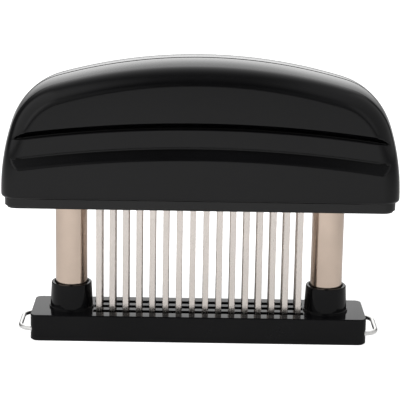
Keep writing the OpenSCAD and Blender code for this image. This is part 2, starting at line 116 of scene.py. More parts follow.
def anyRay(tree, names):
    path = addNode(tree, "ShaderNodeLightPath")
    total = path.outputs[names[0]]
    for name in names[1:]:
        both = addNode(tree, "ShaderNodeMath", operation="MAXIMUM")
        tree.links.new(total, both.inputs[0])
        tree.links.new(path.outputs[name], both.inputs[1])
        total = both.outputs[0]
    return total


def makeFloor():
    half = studio["floorSize"] / 2
    mesh = bpy.data.meshes.new("floor")
    mesh.from_pydata([(-half, -half, 0), (half, -half, 0), (half, half, 0), (-half, half, 0)], [], [(0, 1, 2, 3)])
    mesh.transform(Matrix.Translation((0, 0, -studio["floorDrop"])))
    floor = bpy.data.objects.new("floor", mesh)
    scene.collection.objects.link(floor)
    paper = bpy.data.materials.new("palePaper")
    paper.use_nodes = True
    tree = paper.node_tree
    tree.nodes.clear()
    matt = addNode(tree, "ShaderNodeBsdfDiffuse", Color=(*studio["floorColour"], 1))
    glow = addNode(tree, "ShaderNodeEmission", Color=(1, 1, 1, 1))
    inGloss = addNode(tree, "ShaderNodeMath", operation="MULTIPLY")
    inGloss.inputs[1].default_value = studio["glossGlow"]
    strength = addNode(tree, "ShaderNodeMath", operation="MULTIPLY_ADD")
    strength.inputs[1].default_value = studio["floorGlow"]
    both = addNode(tree, "ShaderNodeAddShader")
    end = addNode(tree, "ShaderNodeOutputMaterial")
    tree.links.new(anyRay(tree, ("Is Glossy Ray", "Is Transmission Ray")), inGloss.inputs[0])
    tree.links.new(anyRay(tree, ("Is Camera Ray",)), strength.inputs[0])
    tree.links.new(inGloss.outputs[0], strength.inputs[2])
    tree.links.new(strength.outputs[0], glow.inputs["Strength"])
    tree.links.new(matt.outputs[0], both.inputs[0])
    tree.links.new(glow.outputs[0], both.inputs[1])
    tree.links.new(both.outputs[0], end.inputs["Surface"])
    mesh.materials.append(paper)


def makeRoom():
    world = bpy.data.worlds.new("studioRoom")
    scene.world = world
    world.use_nodes = True
    tree = world.node_tree
    tree.nodes.clear()
    toward = addNode(tree, "ShaderNodeTexCoord").outputs["Generated"]
    split = addNode(tree, "ShaderNodeSeparateXYZ")
    tree.links.new(toward, split.inputs[0])
    sideways = addNode(tree, "ShaderNodeMath", operation="ABSOLUTE")
    tree.links.new(split.outputs["X"], sideways.inputs[0])
    axes = {"x": sideways.outputs[0], "y": split.outputs["Y"], "z": split.outputs["Z"], "top": split.outputs["Z"]}

    def fade(value, edge):
        made = addNode(tree, "ShaderNodeMapRange", interpolation_type="SMOOTHSTEP")
        made.inputs["From Min"].default_value, made.inputs["From Max"].default_value = edge
        tree.links.new(value, made.inputs["Value"])
        return made.outputs[0]

    def combine(operation, first, second):
        made = addNode(tree, "ShaderNodeMath", operation=operation)
        for socket, value in zip(made.inputs, (first, second)):
            if isinstance(value, float):
                socket.default_value = value
            else:
                tree.links.new(value, socket)
        return made.outputs[0]

    total = room["walls"]
    for part in room["parts"]:
        glow = part["glow"]
        for axis in axes:
            if axis in part:
                glow = combine("MULTIPLY", fade(axes[axis], part[axis]), glow)
        total = combine("ADD", glow, total)
    for box in room["softBoxes"]:
        turn, height = radians(box["turn"]), radians(box["height"])
        near = addNode(tree, "ShaderNodeVectorMath", operation="DOT_PRODUCT")
        near.inputs[1].default_value = (sin(turn) * cos(height), cos(turn) * cos(height), sin(height))
        tree.links.new(toward, near.inputs[0])
        lit = fade(near.outputs["Value"], [cos(radians(a)) for a in box["edge"]])
        total = combine("ADD", total, combine("MULTIPLY", lit, box["glow"]))
    gloss = addNode(tree, "ShaderNodeBackground", Color=(1, 1, 1, 1))
    soft = addNode(tree, "ShaderNodeBackground", Color=(1, 1, 1, 1), Strength=studio["roomLight"])
    white = addNode(tree, "ShaderNodeBackground", Color=(1, 1, 1, 1), Strength=1.0)
    tree.links.new(total, gloss.inputs["Strength"])
    inGloss = addNode(tree, "ShaderNodeMixShader")
    tree.links.new(anyRay(tree, ("Is Glossy Ray", "Is Transmission Ray")), inGloss.inputs[0])
    tree.links.new(soft.outputs[0], inGloss.inputs[1])
    tree.links.new(gloss.outputs[0], inGloss.inputs[2])
    seen = addNode(tree, "ShaderNodeMixShader")
    tree.links.new(anyRay(tree, ("Is Camera Ray",)), seen.inputs[0])
    tree.links.new(inGloss.outputs[0], seen.inputs[1])
    tree.links.new(white.outputs[0], seen.inputs[2])
    end = addNode(tree, "ShaderNodeOutputWorld")
    tree.links.new(seen.outputs[0], end.inputs["Surface"])


lamps = {
    "tableBox": {"at": (-0.14, -0.35, 0.70), "aim": (-0.12, -0.30, 0), "size": (0.7, 0.4), "power": 5.6},
    "backBox": {"at": (0.0, 0.75, 0.70), "aim": (0, 0.3, 0), "size": (1.2, 0.5), "power": 1.5},
}


def makeLamps():
    for name, lamp in lamps.items():
        data = bpy.data.lights.new(name, "AREA")
        data.shape = "RECTANGLE"
        data.size, data.size_y = lamp["size"]
        data.energy = lamp["power"]
        lit = bpy.data.objects.new(name, data)
        lit.visible_camera = False
        lit.visible_glossy = False  # the room above is what gloss shows
        scene.collection.objects.link(lit)
        lit.location = lamp["at"]
        lit.rotation_euler = (Vector(lamp["aim"]) - Vector(lamp["at"])).to_track_quat("-Z", "Y").to_euler()


scene.view_settings.view_transform = "Standard"
makeCamera()
makeFloor()
makeRoom()
makeLamps()
print("camera, floor and light made")


# finishes

plastics = {
    "gripPlastic": {
        "colour": (0.0013, 0.0013, 0.0016), "roughness": 0.14,
        "specular": 0.28, "grain": 0.30, "grainDepth": 0.0006, "slot": "grip_plastic",
    },
    "lipPlastic": {
        "colour": (0.0016, 0.0016, 0.0019), "roughness": 0.20,
        "specular": 0.40, "grain": 0.30, "grainDepth": 0.0006, "slot": "grip_plastic",
    },
    "basePlastic": {
        "colour": (0.0024, 0.0024, 0.0028), "roughness": 0.10,
        "specular": 0.155, "grain": 0.5, "grainDepth": 0.0004, "slot": "base_plastic",
    },
    "darkPlastic": {
        "colour": (0.016, 0.016, 0.018), "roughness": 0.42,
        "specular": 0.45, "grain": 0.2, "grainDepth": 0.003, "slot": "dark_plastic",
    },
    "bushPlastic": {
        "colour": (0.70, 0.67, 0.60), "roughness": 0.38,
        "specular": 0.5, "grain": 0.3, "grainDepth": 0.002, "slot": "bush_plastic",
    },
}
metals = {
    "tubeSteel": {
        "colour": (0.68, 0.55, 0.457), "roughness": 0.12,
        "brush": (7000, 7000, 140), "brushDepth": 0.0008, "cloud": 9, "slot": "tube_steel",
    },
    "bladeSteel": {
        "colour": (0.85, 0.785, 0.735), "roughness": 0.26,
        "brush": (3000, 3000, 60), "brushDepth": 0.0003, "cloud": 9, "slot": "blade_steel",
    },
    "clipWire": {
        "colour": (0.88, 0.875, 0.86), "roughness": 0.30,
        "brush": (300, 3000, 3000), "brushDepth": 0.0008, "cloud": 3, "slot": "clip_wire",
    },
    "springSteel": {
        "colour": (0.52, 0.51, 0.50), "roughness": 0.28,
        "brush": (2500, 2500, 2500), "brushDepth": 0.001, "cloud": 3, "slot": "spring_steel",
    },
    "screwSteel": {
        "colour": (0.56, 0.55, 0.53), "roughness": 0.30,
        "brush": (2500, 2500, 2500), "brushDepth": 0.001, "cloud": 2, "slot": "screw_steel",
    },
}
# how far age and handling vary a finish
plasticWear = {
    "cloudScale": 45.0, "handlingScale": 160.0, "paler": 1.5, "lift": 0.0006,
    "cloudRough": (0.92, 1.06), "handlingRough": (-0.03, 0.10),
}
metalWear = {"duller": 0.90, "cloudRough": (0.9, 1.12), "lineRough": (-0.12, 0.15)}
finishes = {}


def startFinish(name):
    finish = bpy.data.materials.new(name)
    finish.use_nodes = True
    tree = finish.node_tree
    skin = tree.nodes["Principled BSDF"]
    place = addNode(tree, "ShaderNodeTexCoord").outputs["Object"]
    return finish, tree, skin, place


def noise(tree, place, scale, detail=2.0, rough=0.5):
    made = addNode(tree, "ShaderNodeTexNoise")
    made.inputs["Scale"].default_value = scale
    made.inputs["Detail"].default_value = detail
    made.inputs["Roughness"].default_value = rough
    tree.links.new(place, made.inputs["Vector"])
    return made.outputs[0]


def remap(tree, value, low, high, fromLow=0.3, fromHigh=0.7):
    made = addNode(tree, "ShaderNodeMapRange")
    for key, number in zip(("From Min", "From Max", "To Min", "To Max"), (fromLow, fromHigh, low, high)):
        made.inputs[key].default_value = number
    tree.links.new(value, made.inputs["Value"])
    return made.outputs[0]


def mixColours(tree, share, first, second):
    made = addNode(tree, "ShaderNodeMix", data_type="RGBA")
    made.inputs[6].default_value = (*first, 1)
    made.inputs[7].default_value = (*second, 1)
    tree.links.new(share, made.inputs[0])
    return made.outputs[2]


def bumpFrom(tree, skin, height, depth):
    made = addNode(tree, "ShaderNodeBump")
    made.inputs["Distance"].default_value = depth * mm
    made.inputs["Strength"].default_value = 1.0
    tree.links.new(height, made.inputs["Height"])
    tree.links.new(made.outputs[0], skin.inputs["Normal"])


def addRoughness(tree, skin, first, second):
    patches = addNode(tree, "ShaderNodeMath", operation="ADD")
    tree.links.new(first, patches.inputs[0])
    tree.links.new(second, patches.inputs[1])
    tree.links.new(patches.outputs[0], skin.inputs["Roughness"])


def mouldedPlastic(name, look):
    finish, tree, skin, place = startFinish(name)
    wear = plasticWear
    cloud = noise(tree, place, wear["cloudScale"], 4.0, 0.6)
    handling = noise(tree, place, wear["handlingScale"], 6.0, 0.7)
    grain = noise(tree, place, 1 / (look["grain"] * mm), 2.0, 0.5)
    pale = tuple(c * wear["paler"] + wear["lift"] for c in look["colour"])
    tree.links.new(mixColours(tree, remap(tree, cloud, 0, 1), look["colour"], pale), skin.inputs["Base Color"])
    cloudy = remap(tree, cloud, *(r * look["roughness"] for r in wear["cloudRough"]))
    handled = remap(tree, handling, *(r * look["roughness"] for r in wear["handlingRough"]), 0.45, 0.75)
    addRoughness(tree, skin, cloudy, handled)
    skin.inputs["Specular IOR Level"].default_value = look["specular"]
    bumpFrom(tree, skin, grain, look["grainDepth"])
    return finish


def brushedMetal(name, look):
    finish, tree, skin, place = startFinish(name)
    stretch = addNode(tree, "ShaderNodeMapping")
    stretch.inputs["Scale"].default_value = look["brush"]
    tree.links.new(place, stretch.inputs["Vector"])
    lines = noise(tree, stretch.outputs[0], 1.0, 3.0, 0.6)
    cloud = noise(tree, place, 1 / (look["cloud"] * mm), 4.0, 0.6)
    dull = tuple(c * metalWear["duller"] for c in look["colour"])
    tree.links.new(mixColours(tree, remap(tree, cloud, 0, 1), dull, look["colour"]), skin.inputs["Base Color"])
    cloudy = remap(tree, cloud, *(r * look["roughness"] for r in metalWear["cloudRough"]))
    lined = remap(tree, lines, *(r * look["roughness"] for r in metalWear["lineRough"]))
    addRoughness(tree, skin, cloudy, lined)
    skin.inputs["Metallic"].default_value = 1.0
    bumpFrom(tree, skin, lines, look["brushDepth"])
    return finish


for name, look in plastics.items():
    finishes[name] = mouldedPlastic(name, look)
for name, look in metals.items():
    finishes[name] = brushedMetal(name, look)
print("finishes made:", len(finishes))


# helpers for pieces

def newPiece(name, mesh, finish, body, nodes):
    piece = bpy.data.objects.new(name, mesh)
    scene.collection.objects.link(piece)
    if not mesh.materials:
        mesh.materials.append(finishes[finish])
    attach(piece, body)
    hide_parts(*nodes)
    return piece


def bakeModifiers(holder):
    # the evaluated shape as a plain mesh
    view = bpy.context.evaluated_depsgraph_get()
    view.update()
    mesh = bpy.data.meshes.new_from_object(holder.evaluated_get(view))
    bpy.data.objects.remove(holder)
    return mesh


bevels = {"merge": 0.002, "flatTurn": 0.4, "sharpTurn": 30}  # mm and degrees


def dress(name, node, finish, body, width, segments=3, widthAt=None):
    # a copy of a CAD solid with its edges rounded; widthAt gives another width by place, in mm
    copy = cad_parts[node].data.copy()
    for leftover in ("custom_normal", "sharp_edge"):
        if leftover in copy.attributes:
            copy.attributes.remove(copy.attributes[leftover])
    shape = bmesh.new()
    shape.from_mesh(copy)
    bmesh.ops.remove_doubles(shape, verts=shape.verts, dist=bevels["merge"] * mm)
    flatTurn = radians(bevels["flatTurn"])
    bmesh.ops.dissolve_limit(shape, angle_limit=flatTurn, verts=shape.verts, edges=shape.edges)
    weights = shape.edges.layers.float.new("bevel_weight_edge")
    for face in shape.faces:
        face.smooth = True
        face.material_index = 0
    for edge in shape.edges:
        if len(edge.link_faces) != 2 or edge.calc_face_angle(0) < radians(bevels["sharpTurn"]):
            continue
        wanted = width
        if widthAt:
            wanted = widthAt((edge.verts[0].co + edge.verts[1].co) / (2 * mm), width)
        edge[weights] = wanted / width
    shape.to_mesh(copy)
    shape.free()
    copy.materials.clear()
    copy.materials.append(finishes[finish])
    holder = bpy.data.objects.new(name, copy)
    scene.collection.objects.link(holder)
    bevel = holder.modifiers.new("roundEdges", "BEVEL")
    bevel.limit_method = "WEIGHT"
    bevel.width = width * mm
    bevel.segments = segments
    bevel.use_clamp_overlap = False
    bevel.miter_outer = "MITER_ARC"
    even = holder.modifiers.new("evenShading", "WEIGHTED_NORMAL")
    even.keep_sharp = False
    even.weight = 60
    mesh = bakeModifiers(holder)
    mesh.name = name
    return newPiece(name, mesh, finish, body, (node,))


class Skin:
    # corners, faces and the shading direction at each corner of each face, in mm
    def __init__(self):
        self.points = []
        self.faces = []
        self.shading = []

    def point(self, *place):
        self.points.append(tuple(place))
        return len(self.points) - 1

    def face(self, corners, shading):
        self.faces.append(tuple(corners))
        self.shading.append([tuple(s) for s in shading])

    def flat(self, corners, direction):
        self.face(corners, [direction] * len(corners))

    def mirrored(self):
        other = Skin()
        other.points = [(x, -y, z) for x, y, z in self.points]
        other.faces = [tuple(reversed(f)) for f in self.faces]
        other.shading = [[(x, -y, z) for x, y, z in reversed(s)] for s in self.shading]
        return other

    def mesh(self, name):
        mesh = bpy.data.meshes.new(name)
        mesh.from_pydata([Vector(p) * mm for p in self.points], [], self.faces)
        mesh.polygons.foreach_set("use_smooth", [True] * len(mesh.polygons))
        mesh.normals_split_custom_set([s for face in self.shading for s in face])
        return mesh


def unit(*parts):
    length = sqrt(sum(p * p for p in parts)) or 1.0
    return tuple(p / length for p in parts)


def lathe(skin, profile, centre, axis="z", sides=32):
    # a closed turned shape; profile runs from the axis to the axis as (radius, height)
    def place(r, h, a):
        if axis == "z":
            return (centre[0] + r * cos(a), centre[1] + r * sin(a), centre[2] + h)
        return (centre[0] + r * cos(a), centre[1] + h, centre[2] - r * sin(a))

    def aim(nr, nh, a):
        if axis == "z":
            return (nr * cos(a), nr * sin(a), nh)
        return (nr * cos(a), nh, -nr * sin(a))

    rings = []
    for r, h in profile:
        if r < 1e-6:
            rings.append([skin.point(*place(0, h, 0))] * sides)
        else:
            rings.append([skin.point(*place(r, h, 2 * pi * i / sides)) for i in range(sides)])
    for k in range(len(profile) - 1):
        (r0, h0), (r1, h1) = profile[k], profile[k + 1]
        nr, nh = unit(h1 - h0, r0 - r1)
        for i in range(sides):
            j = (i + 1) % sides
            a, b = 2 * pi * i / sides, 2 * pi * (i + 1) / sides
            corners = [rings[k][i], rings[k][j], rings[k + 1][j], rings[k + 1][i]]
            shading = [aim(nr, nh, a), aim(nr, nh, b), aim(nr, nh, b), aim(nr, nh, a)]
            if corners[0] == corners[1]:
                corners, shading = corners[1:], shading[1:]
            elif corners[2] == corners[3]:
                corners, shading = corners[:3], shading[:3]
            skin.face(corners, shading)


# grip: two domed half shells with finger grooves

grip = {
    "length": 147.57, "depth": 40.0, "height": 50.1, "lowerEdge": 56.0, "wall": 3.4,
    "crestRadius": 192.0, "shoulderRadius": 24.8, "sideRadius": 79.0, "sideDrop": -1.6,
    "crownRadius": 108.0, "edgeRadius": 7.0,
    "lowerRound": 1.2,  # rounding along the shells' lower edge
    "seamCut": 0.9,  # chamfer on each side of the crest seam
    "archRadius": 465.0,  # of both grooves
    # edge: height of the sharp edge; rise: how far the slope goes up from it, or down
    # ends: how far from the middle the groove starts to run out, and is gone
    "upperGroove": {"edge": 82.8, "rise": 2.5, "depth": 2.4, "lip": 0.22, "fade": 0.15, "ends": (73.0, 74.0)},
    "lowerGroove": {"edge": 76.3, "rise": -4.6, "depth": 1.4, "lip": 0.18, "fade": 0.7, "ends": (68.6, 70.0)},
    "narrowing": 0.94,  # share of its width that a groove loses as it runs out
    "grooveBlend": 0.2,  # softens the corner where a groove meets the face
}
# how finely the shells are meshed, in degrees and mm
shellMesh = {
    "lastTurn": 33, "faceTurns": (38, 43, 48, 53, 58, 63, 68, 73, 78, 84, 90),
    "across": 60, "columnsTo": 72.0, "fine": 0.45, "coarse": 1.6, "fineFrom": 50,
    "guard": 0.12, "slopeStep": 0.03,
}
crestZ = grip["lowerEdge"] + grip["height"]
crestCz = crestZ - grip["crestRadius"]
sideCx = grip["length"] / 2 - grip["sideRadius"]
sideCz = grip["lowerEdge"] - grip["sideDrop"]
centreGap = hypot(sideCx, sideCz - crestCz)
archReach = grip["crestRadius"] - grip["shoulderRadius"]
sideReach = grip["sideRadius"] - grip["shoulderRadius"]
along = (archReach ** 2 - sideReach ** 2 + centreGap ** 2) / (2 * centreGap)
aside = sqrt(archReach ** 2 - along ** 2)
shoulderCx = (along * sideCx + aside * (sideCz - crestCz)) / centreGap
shoulderCz = crestCz + (along * (sideCz - crestCz) - aside * sideCx) / centreGap
crestAngle = atan2(shoulderCz - crestCz, shoulderCx)
sideAngle = atan2(shoulderCz - sideCz, shoulderCx - sideCx)
halfDepth = grip["depth"] / 2
crownAngle = asin((halfDepth - grip["edgeRadius"]) / (grip["crownRadius"] - grip["edgeRadius"]))
crownInset = grip["crownRadius"] * (1 - cos(crownAngle))
flatInset = crownInset + grip["edgeRadius"] * cos(crownAngle)
floorZ = grip["lowerEdge"]
roundLevels = [floorZ + grip["lowerRound"] * (1 - sin(radians(b))) for b in (90, 72, 54, 36, 18, 0)]


def outlineRow(inset):
    # (x, z, direction x, direction z) from the right foot over the crest to the left foot
    row = []
    reach = grip["sideRadius"] - inset
    for level in roundLevels:
        a = asin((level - sideCz) / reach)
        row.append((sideCx + reach * cos(a), level, cos(a), sin(a)))
    lowest = asin((roundLevels[-1] - sideCz) / reach)
    spans = ((sideCx, sideCz, reach, lowest, sideAngle, 22),
             (shoulderCx, shoulderCz, grip["shoulderRadius"] - inset, sideAngle, crestAngle, 16),
             (0.0, crestCz, grip["crestRadius"] - inset, crestAngle, pi / 2, 44))
    for cx, cz, r, start, end, steps in spans:
        for i in range(1, steps + 1):
            a = start + (end - start) * i / steps
            row.append((cx + r * cos(a), cz + r * sin(a), cos(a), sin(a)))
    return row + [(-x, z, -nx, nz) for x, z, nx, nz in reversed(row[:-1])]


def crownStation(a, wall=0.0):
    # distance from the middle plane and inset of the outline where the surface has turned by a
    r = grip["crownRadius"] - wall
    if a <= crownAngle:
        return r * sin(a), wall + r * (1 - cos(a))
    e = grip["edgeRadius"] - wall
    return (r * sin(crownAngle) + e * (sin(a) - sin(crownAngle)),
            wall + r * (1 - cos(crownAngle)) + e * (cos(crownAngle) - cos(a)))


def turnAt(inset):
    # how far the surface has turned towards the front where the outline's inset is this
    if inset >= flatInset:
        return pi / 2
    if inset <= crownInset:
        return acos(1 - max(inset, 0.0) / grip["crownRadius"])
    return acos(max(cos(crownAngle) - (inset - crownInset) / grip["edgeRadius"], 0.0))


def insetAt(x, z):
    x = abs(x)
    toShoulder = atan2(z - shoulderCz, x - shoulderCx)
    away = hypot(x - shoulderCx, z - shoulderCz)
    if x > shoulderCx and z > shoulderCz and sideAngle < toShoulder < crestAngle:
        return grip["shoulderRadius"] - away
    return min(grip["sideRadius"] - hypot(x - sideCx, z - sideCz), grip["crestRadius"] - hypot(x, z - crestCz))


def grooveProfile(groove):
    # (height above the sharp edge, depth) from the lip over the sharp edge and out along the slope
    rise, depth, lip, fade = (groove[k] for k in ("rise", "depth", "lip", "fade"))
    away = -1 if rise > 0 else 1
    rows = []
    for b in (0, 22.5, 45, 67.5, 90):
        rows.append((away * (0.06 + lip * (1 - sin(radians(b)))), lip * (1 - cos(radians(b)))))
    rows.append((0.0, depth))
    span = abs(rise)
    slope = depth / span
    for i in range(1, 5):
        t = (span - fade) * i / 4
        rows.append((-away * t, depth - slope * t))
    for i in range(1, 9):
        t = i / 8
        # a soft end: the slope runs out level with the face
        rows.append((-away * (span - fade + 2 * fade * t), slope * fade * (1 - t) ** 2))
    rows.sort()
    return rows


grooves = [(grip[k]["edge"], grooveProfile(grip[k]), grip[k]["ends"]) for k in ("upperGroove", "lowerGroove")]


def grooveDepth(x, z):
    for edge, rows, (full, end) in grooves:
        # between full and end the groove runs out to a point
        out = min(max((abs(x) - full) / (end - full), 0.0), 1.0)
        height = hypot(x, z - edge + grip["archRadius"]) - grip["archRadius"]
        left = 1 - grip["narrowing"] * out
        height /= left
        if rows[0][0] < height < rows[-1][0]:
            for (h0, d0), (h1, d1) in zip(rows, rows[1:]):
                if height <= h1:
                    depth = d0 + (d1 - d0) * (height - h0) / (h1 - h0)
                    return depth * left * (1 - out ** 4)
    return 0.0


def frontReach(x, z):
    # distance of the front surface from the middle plane, grooves included
    whole = crownStation(turnAt(insetAt(x, z)))[0]
    cut = grooveDepth(x, z)
    if cut <= 0:
        return whole
    grooved = halfDepth - cut
    blend = min(grip["grooveBlend"], cut * 0.6)
    near = max(blend - abs(whole - grooved), 0.0)
    return min(whole, grooved) - near * near / (4 * blend)


def roundLower(x, y, z, direction):
    # pulls a point in where the lower edge is rounded
    if z >= roundLevels[-1]:
        return (x, y, z), direction
    down = 1 - (z - floorZ) / grip["lowerRound"]
    level = sqrt(max(1 - down * down, 0.0))
    nx, ny, _ = unit(direction[0], direction[1], 0)
    pull = grip["lowerRound"] * (1 - level)
    return (x - nx * pull, y - ny * pull, z), (nx * level, ny * level, -down)


def halfShell():
    skin = Skin()
    seam = grip["seamCut"]
    turns = [asin(seam / grip["crownRadius"])]
    turns += [crownAngle * i / 5 for i in range(1, 6)]
    lastTurn = radians(shellMesh["lastTurn"])
    turns += [crownAngle + (lastTurn - crownAngle) * i / 9 for i in range(1, 10)]

    def strip(rowA, rowB, aimA, aimB):
        for i in range(len(rowA) - 1):
            corners = (rowA[i], rowA[i + 1], rowB[i + 1], rowB[i])
            skin.face(corners, (aimA[i], aimA[i + 1], aimB[i + 1], aimB[i]))

    # seam chamfer, crown and the first part of the round edge
    rows, aims = [], []
    lip, lipAim = [], []
    for x, z, nx, nz in outlineRow(seam):
        place, aim = roundLower(x, 0.0, z, (nx, 0.0, nz))
        lip.append(skin.point(*place))
        lipAim.append(unit(nx, 1.0, nz))
    for turn in turns:
        out, inset = crownStation(turn)
        row, aim = [], []
        for x, z, nx, nz in outlineRow(inset):
            place, direction = roundLower(x, -out, z, (nx * cos(turn), -sin(turn), nz * cos(turn)))
            row.append(skin.point(*place))
            aim.append(direction)
        rows.append(row)
        aims.append(aim)
    strip(lip, rows[0], lipAim, lipAim)
    for k in range(len(rows) - 1):
        strip(rows[k], rows[k + 1], aims[k], aims[k + 1])

    # the rest of the edge, the face and its grooves: one height field
    ring = outlineRow(crownStation(lastTurn)[1])
    spots = [(p[0], p[1]) for p in ring]
    count = len(spots)
    border = list(range(count))
    links = []
    reach = spots[0][0]

    def addLine(points, start=None, end=None):
        line = [] if start is None else [start]
        for p in points:
            line.append(len(spots))
            spots.append(p)
        if end is not None:
            line.append(end)
        links.extend(zip(line, line[1:]))
        return line

    steps = shellMesh["across"]
    across = [reach * (1 - 2 * i / steps) for i in range(1, steps)]
    for k, level in enumerate(roundLevels):
        span = ring[k][0]
        line = addLine([(x / reach * span, level) for x in across], k, count - 1 - k)
        if k == 0:
            border += line[-2:0:-1]
            bottomLine = line
    for turn in shellMesh["faceTurns"]:
        row = outlineRow(crownStation(radians(turn))[1])
        addLine([(p[0], p[1]) for p in row[len(roundLevels):-len(roundLevels)]])
    columns = []
    x = -shellMesh["columnsTo"]
    while x < shellMesh["columnsTo"]:
        columns.append(x)
        x += shellMesh["fine"] if abs(x + 0.2) > shellMesh["fineFrom"] else shellMesh["coarse"]
    columns.append(shellMesh["columnsTo"])
    guard = shellMesh["guard"]
    inside = crownStation(lastTurn)[1] + guard
    for edge, profile, _ in grooves:
        heights = [profile[0][0] - guard, *(h for h, _ in profile), profile[-1][0] + guard]
        for height in heights:
            r = grip["archRadius"] + height
            line = [(x, edge - grip["archRadius"] + sqrt(r * r - x * x)) for x in columns]
            addLine([p for p in line if insetAt(*p) > inside])
    found = delaunay_2d_cdt([Vector(p) for p in spots], links, [border], 1, 1e-5)
    where, triangles, origin = found[0], found[2], found[3]
    index, aim = [], []
    step = shellMesh["slopeStep"]
    for p, sources in zip(where, origin):
        onRing = [s for s in sources if s < count]
        x, z = p
        if onRing:
            index.append(rows[-1][onRing[0]])
            aim.append(aims[-1][onRing[0]])
            continue
        slopeX = (frontReach(x + step, z) - frontReach(x - step, z)) / (2 * step)
        slopeZ = (frontReach(x, z + step) - frontReach(x, z - step)) / (2 * step)
        place, direction = roundLower(x, -frontReach(x, z), z, unit(-slopeX, -1.0, -slopeZ))
        index.append(skin.point(*place))
        aim.append(direction)
    for a, b, c in triangles:
        (ax, az), (bx, bz), (cx, cz) = where[a], where[b], where[c]
        if (bx - ax) * (cz - az) - (bz - az) * (cx - ax) < 0:
            b, c = c, b
        skin.face((index[a], index[b], index[c]), (aim[a], aim[b], aim[c]))

    # inner wall, closed by its flat front
    wall = grip["wall"]
    inner = []
    wallTurns = [crownAngle * i / 2 for i in range(3)]
    wallTurns += [crownAngle + (pi / 2 - crownAngle) * i / 6 for i in range(1, 7)]
    for turn in wallTurns:
        out, inset = crownStation(turn, wall)
        row = [(skin.point(x, -out, z), (-nx * cos(turn), sin(turn), -nz * cos(turn)))
               for x, z, nx, nz in outlineRow(inset)]
        inner.append(row)
    for rowA, rowB in zip(inner, inner[1:]):
        for i in range(len(rowA) - 1):
            (a, na), (b, nb), (c, nc), (d, nd) = rowA[i + 1], rowA[i], rowB[i], rowB[i + 1]
            skin.face((a, b, c, d), (na, nb, nc, nd))
    skin.flat([p for p, _ in reversed(inner[-1])], (0, 1, 0))

    # seam face and lower face
    for i in range(len(lip) - 1):
        skin.flat((lip[i + 1], lip[i], inner[0][i][0], inner[0][i + 1][0]), (0, 1, 0))
    whereIs = {s: k for k, sources in enumerate(origin) for s in sources}
    bottom = [lip[0]] + [row[0] for row in rows] + [index[whereIs[s]] for s in bottomLine[1:-1]]
    bottom += [row[-1] for row in reversed(rows)] + [lip[-1]]
    bottom += [row[-1][0] for row in inner] + [row[0][0] for row in reversed(inner)]
    skin.flat(bottom, (0, 0, -1))
    return skin


# inside the shells: screw bosses with a web, pads over the spring caps, dowel bosses
bosses = {
    "radius": 3.2, "screwHole": 1.4, "from": 58.5, "height": 10.0, "hole": 7.0, "at": (63.7, -9.0), "edge": 0.3,
    "web": 1.7, "webFrom": 2.8, "webTo": 71.4, "padRadius": 5.5, "padFrom": 94.1, "padReach": 4,
    "dowelAt": (24.0, 95.1), "dowelFrom": -18.0, "dowelHole": 1.3, "dowelDepth": 6.0,
}


def addBosses(skin):
    b = bosses
    low, high, hole = b["from"], b["from"] + b["height"], b["from"] + b["hole"]
    for side in (-1, 1):
        x, y = side * b["at"][0], b["at"][1]
        lathe(skin, [(0, hole), (b["screwHole"], hole), (b["screwHole"], low), (b["radius"], low),
                     (b["radius"], high - b["edge"]), (b["radius"] - b["edge"], high), (0, high)], (x, y, 0))
        web = b["web"] / 2
        block(skin, (x + side * b["webFrom"], y - web, low), (side * b["webTo"], y + web, high))
        top = crestCz + sqrt((grip["crestRadius"] - grip["wall"] / 2) ** 2 - (tubeX + b["padReach"]) ** 2)
        halfDisc(skin, side * tubeX, b["padRadius"], b["padFrom"], top)
        x, z = side * b["dowelAt"][0], b["dowelAt"][1]
        lathe(skin, [(0, b["dowelFrom"]), (b["radius"], b["dowelFrom"]), (b["radius"], 0.0), (b["dowelHole"], 0.0),
                     (b["dowelHole"], -b["dowelDepth"]), (0, -b["dowelDepth"])], (x, 0, z), "y")


def block(skin, a, b):
    (x0, x1), (y0, y1), (z0, z1) = (sorted(pair) for pair in zip(a, b))
    p = [skin.point(x, y, z) for z in (z0, z1) for y in (y0, y1) for x in (x0, x1)]
    for corners, aim in (((0, 2, 3, 1), (0, 0, -1)), ((4, 5, 7, 6), (0, 0, 1)), ((0, 1, 5, 4), (0, -1, 0)),
                         ((2, 6, 7, 3), (0, 1, 0)), ((0, 4, 6, 2), (-1, 0, 0)), ((1, 3, 7, 5), (1, 0, 0))):
        skin.flat([p[i] for i in corners], aim)


def halfDisc(skin, x, r, low, high, sides=24):
    turn = [pi + pi * i / sides for i in range(sides + 1)]
    lower = [skin.point(x + r * cos(a), r * sin(a), low) for a in turn]
    upper = [skin.point(x + r * cos(a), r * sin(a), high) for a in turn]
    for i in range(sides):
        na, nb = (cos(turn[i]), sin(turn[i]), 0), (cos(turn[i + 1]), sin(turn[i + 1]), 0)
        skin.face((lower[i], lower[i + 1], upper[i + 1], upper[i]), (na, nb, nb, na))
    skin.flat(list(reversed(lower)), (0, 0, -1))
    skin.flat(upper, (0, 0, 1))
    skin.flat((lower[-1], lower[0], upper[0], upper[-1]), (0, 1, 0))


frontHalf = halfShell()
addBosses(frontHalf)
newPiece("gripFront", frontHalf.mesh("gripFront"), "gripPlastic", "grip", ("grip_front_shell",))
newPiece("gripRear", frontHalf.mirrored().mesh("gripRear"), "gripPlastic", "grip", ("grip_rear_shell",))
print("grip shells made:", len(frontHalf.faces), "faces each")

dress("gripPlate", "grip_bottom_plate", "lipPlastic", "grip", 0.25)
print("bottom plate made")


# base bar with its cups

# widths of the rounded edges, and where on the bar they apply
baseBar = {
    "edge": 0.45, "fine": 0.15, "rim": 0.3, "mouth": 0.2, "collar": 0.05,
    "stepTop": 1.0, "barTop": 10.4, "rimFrom": 19.0, "collarRadius": 9.2,
    "slots": (40, 8), "pockets": (3.0, 5.5),
}


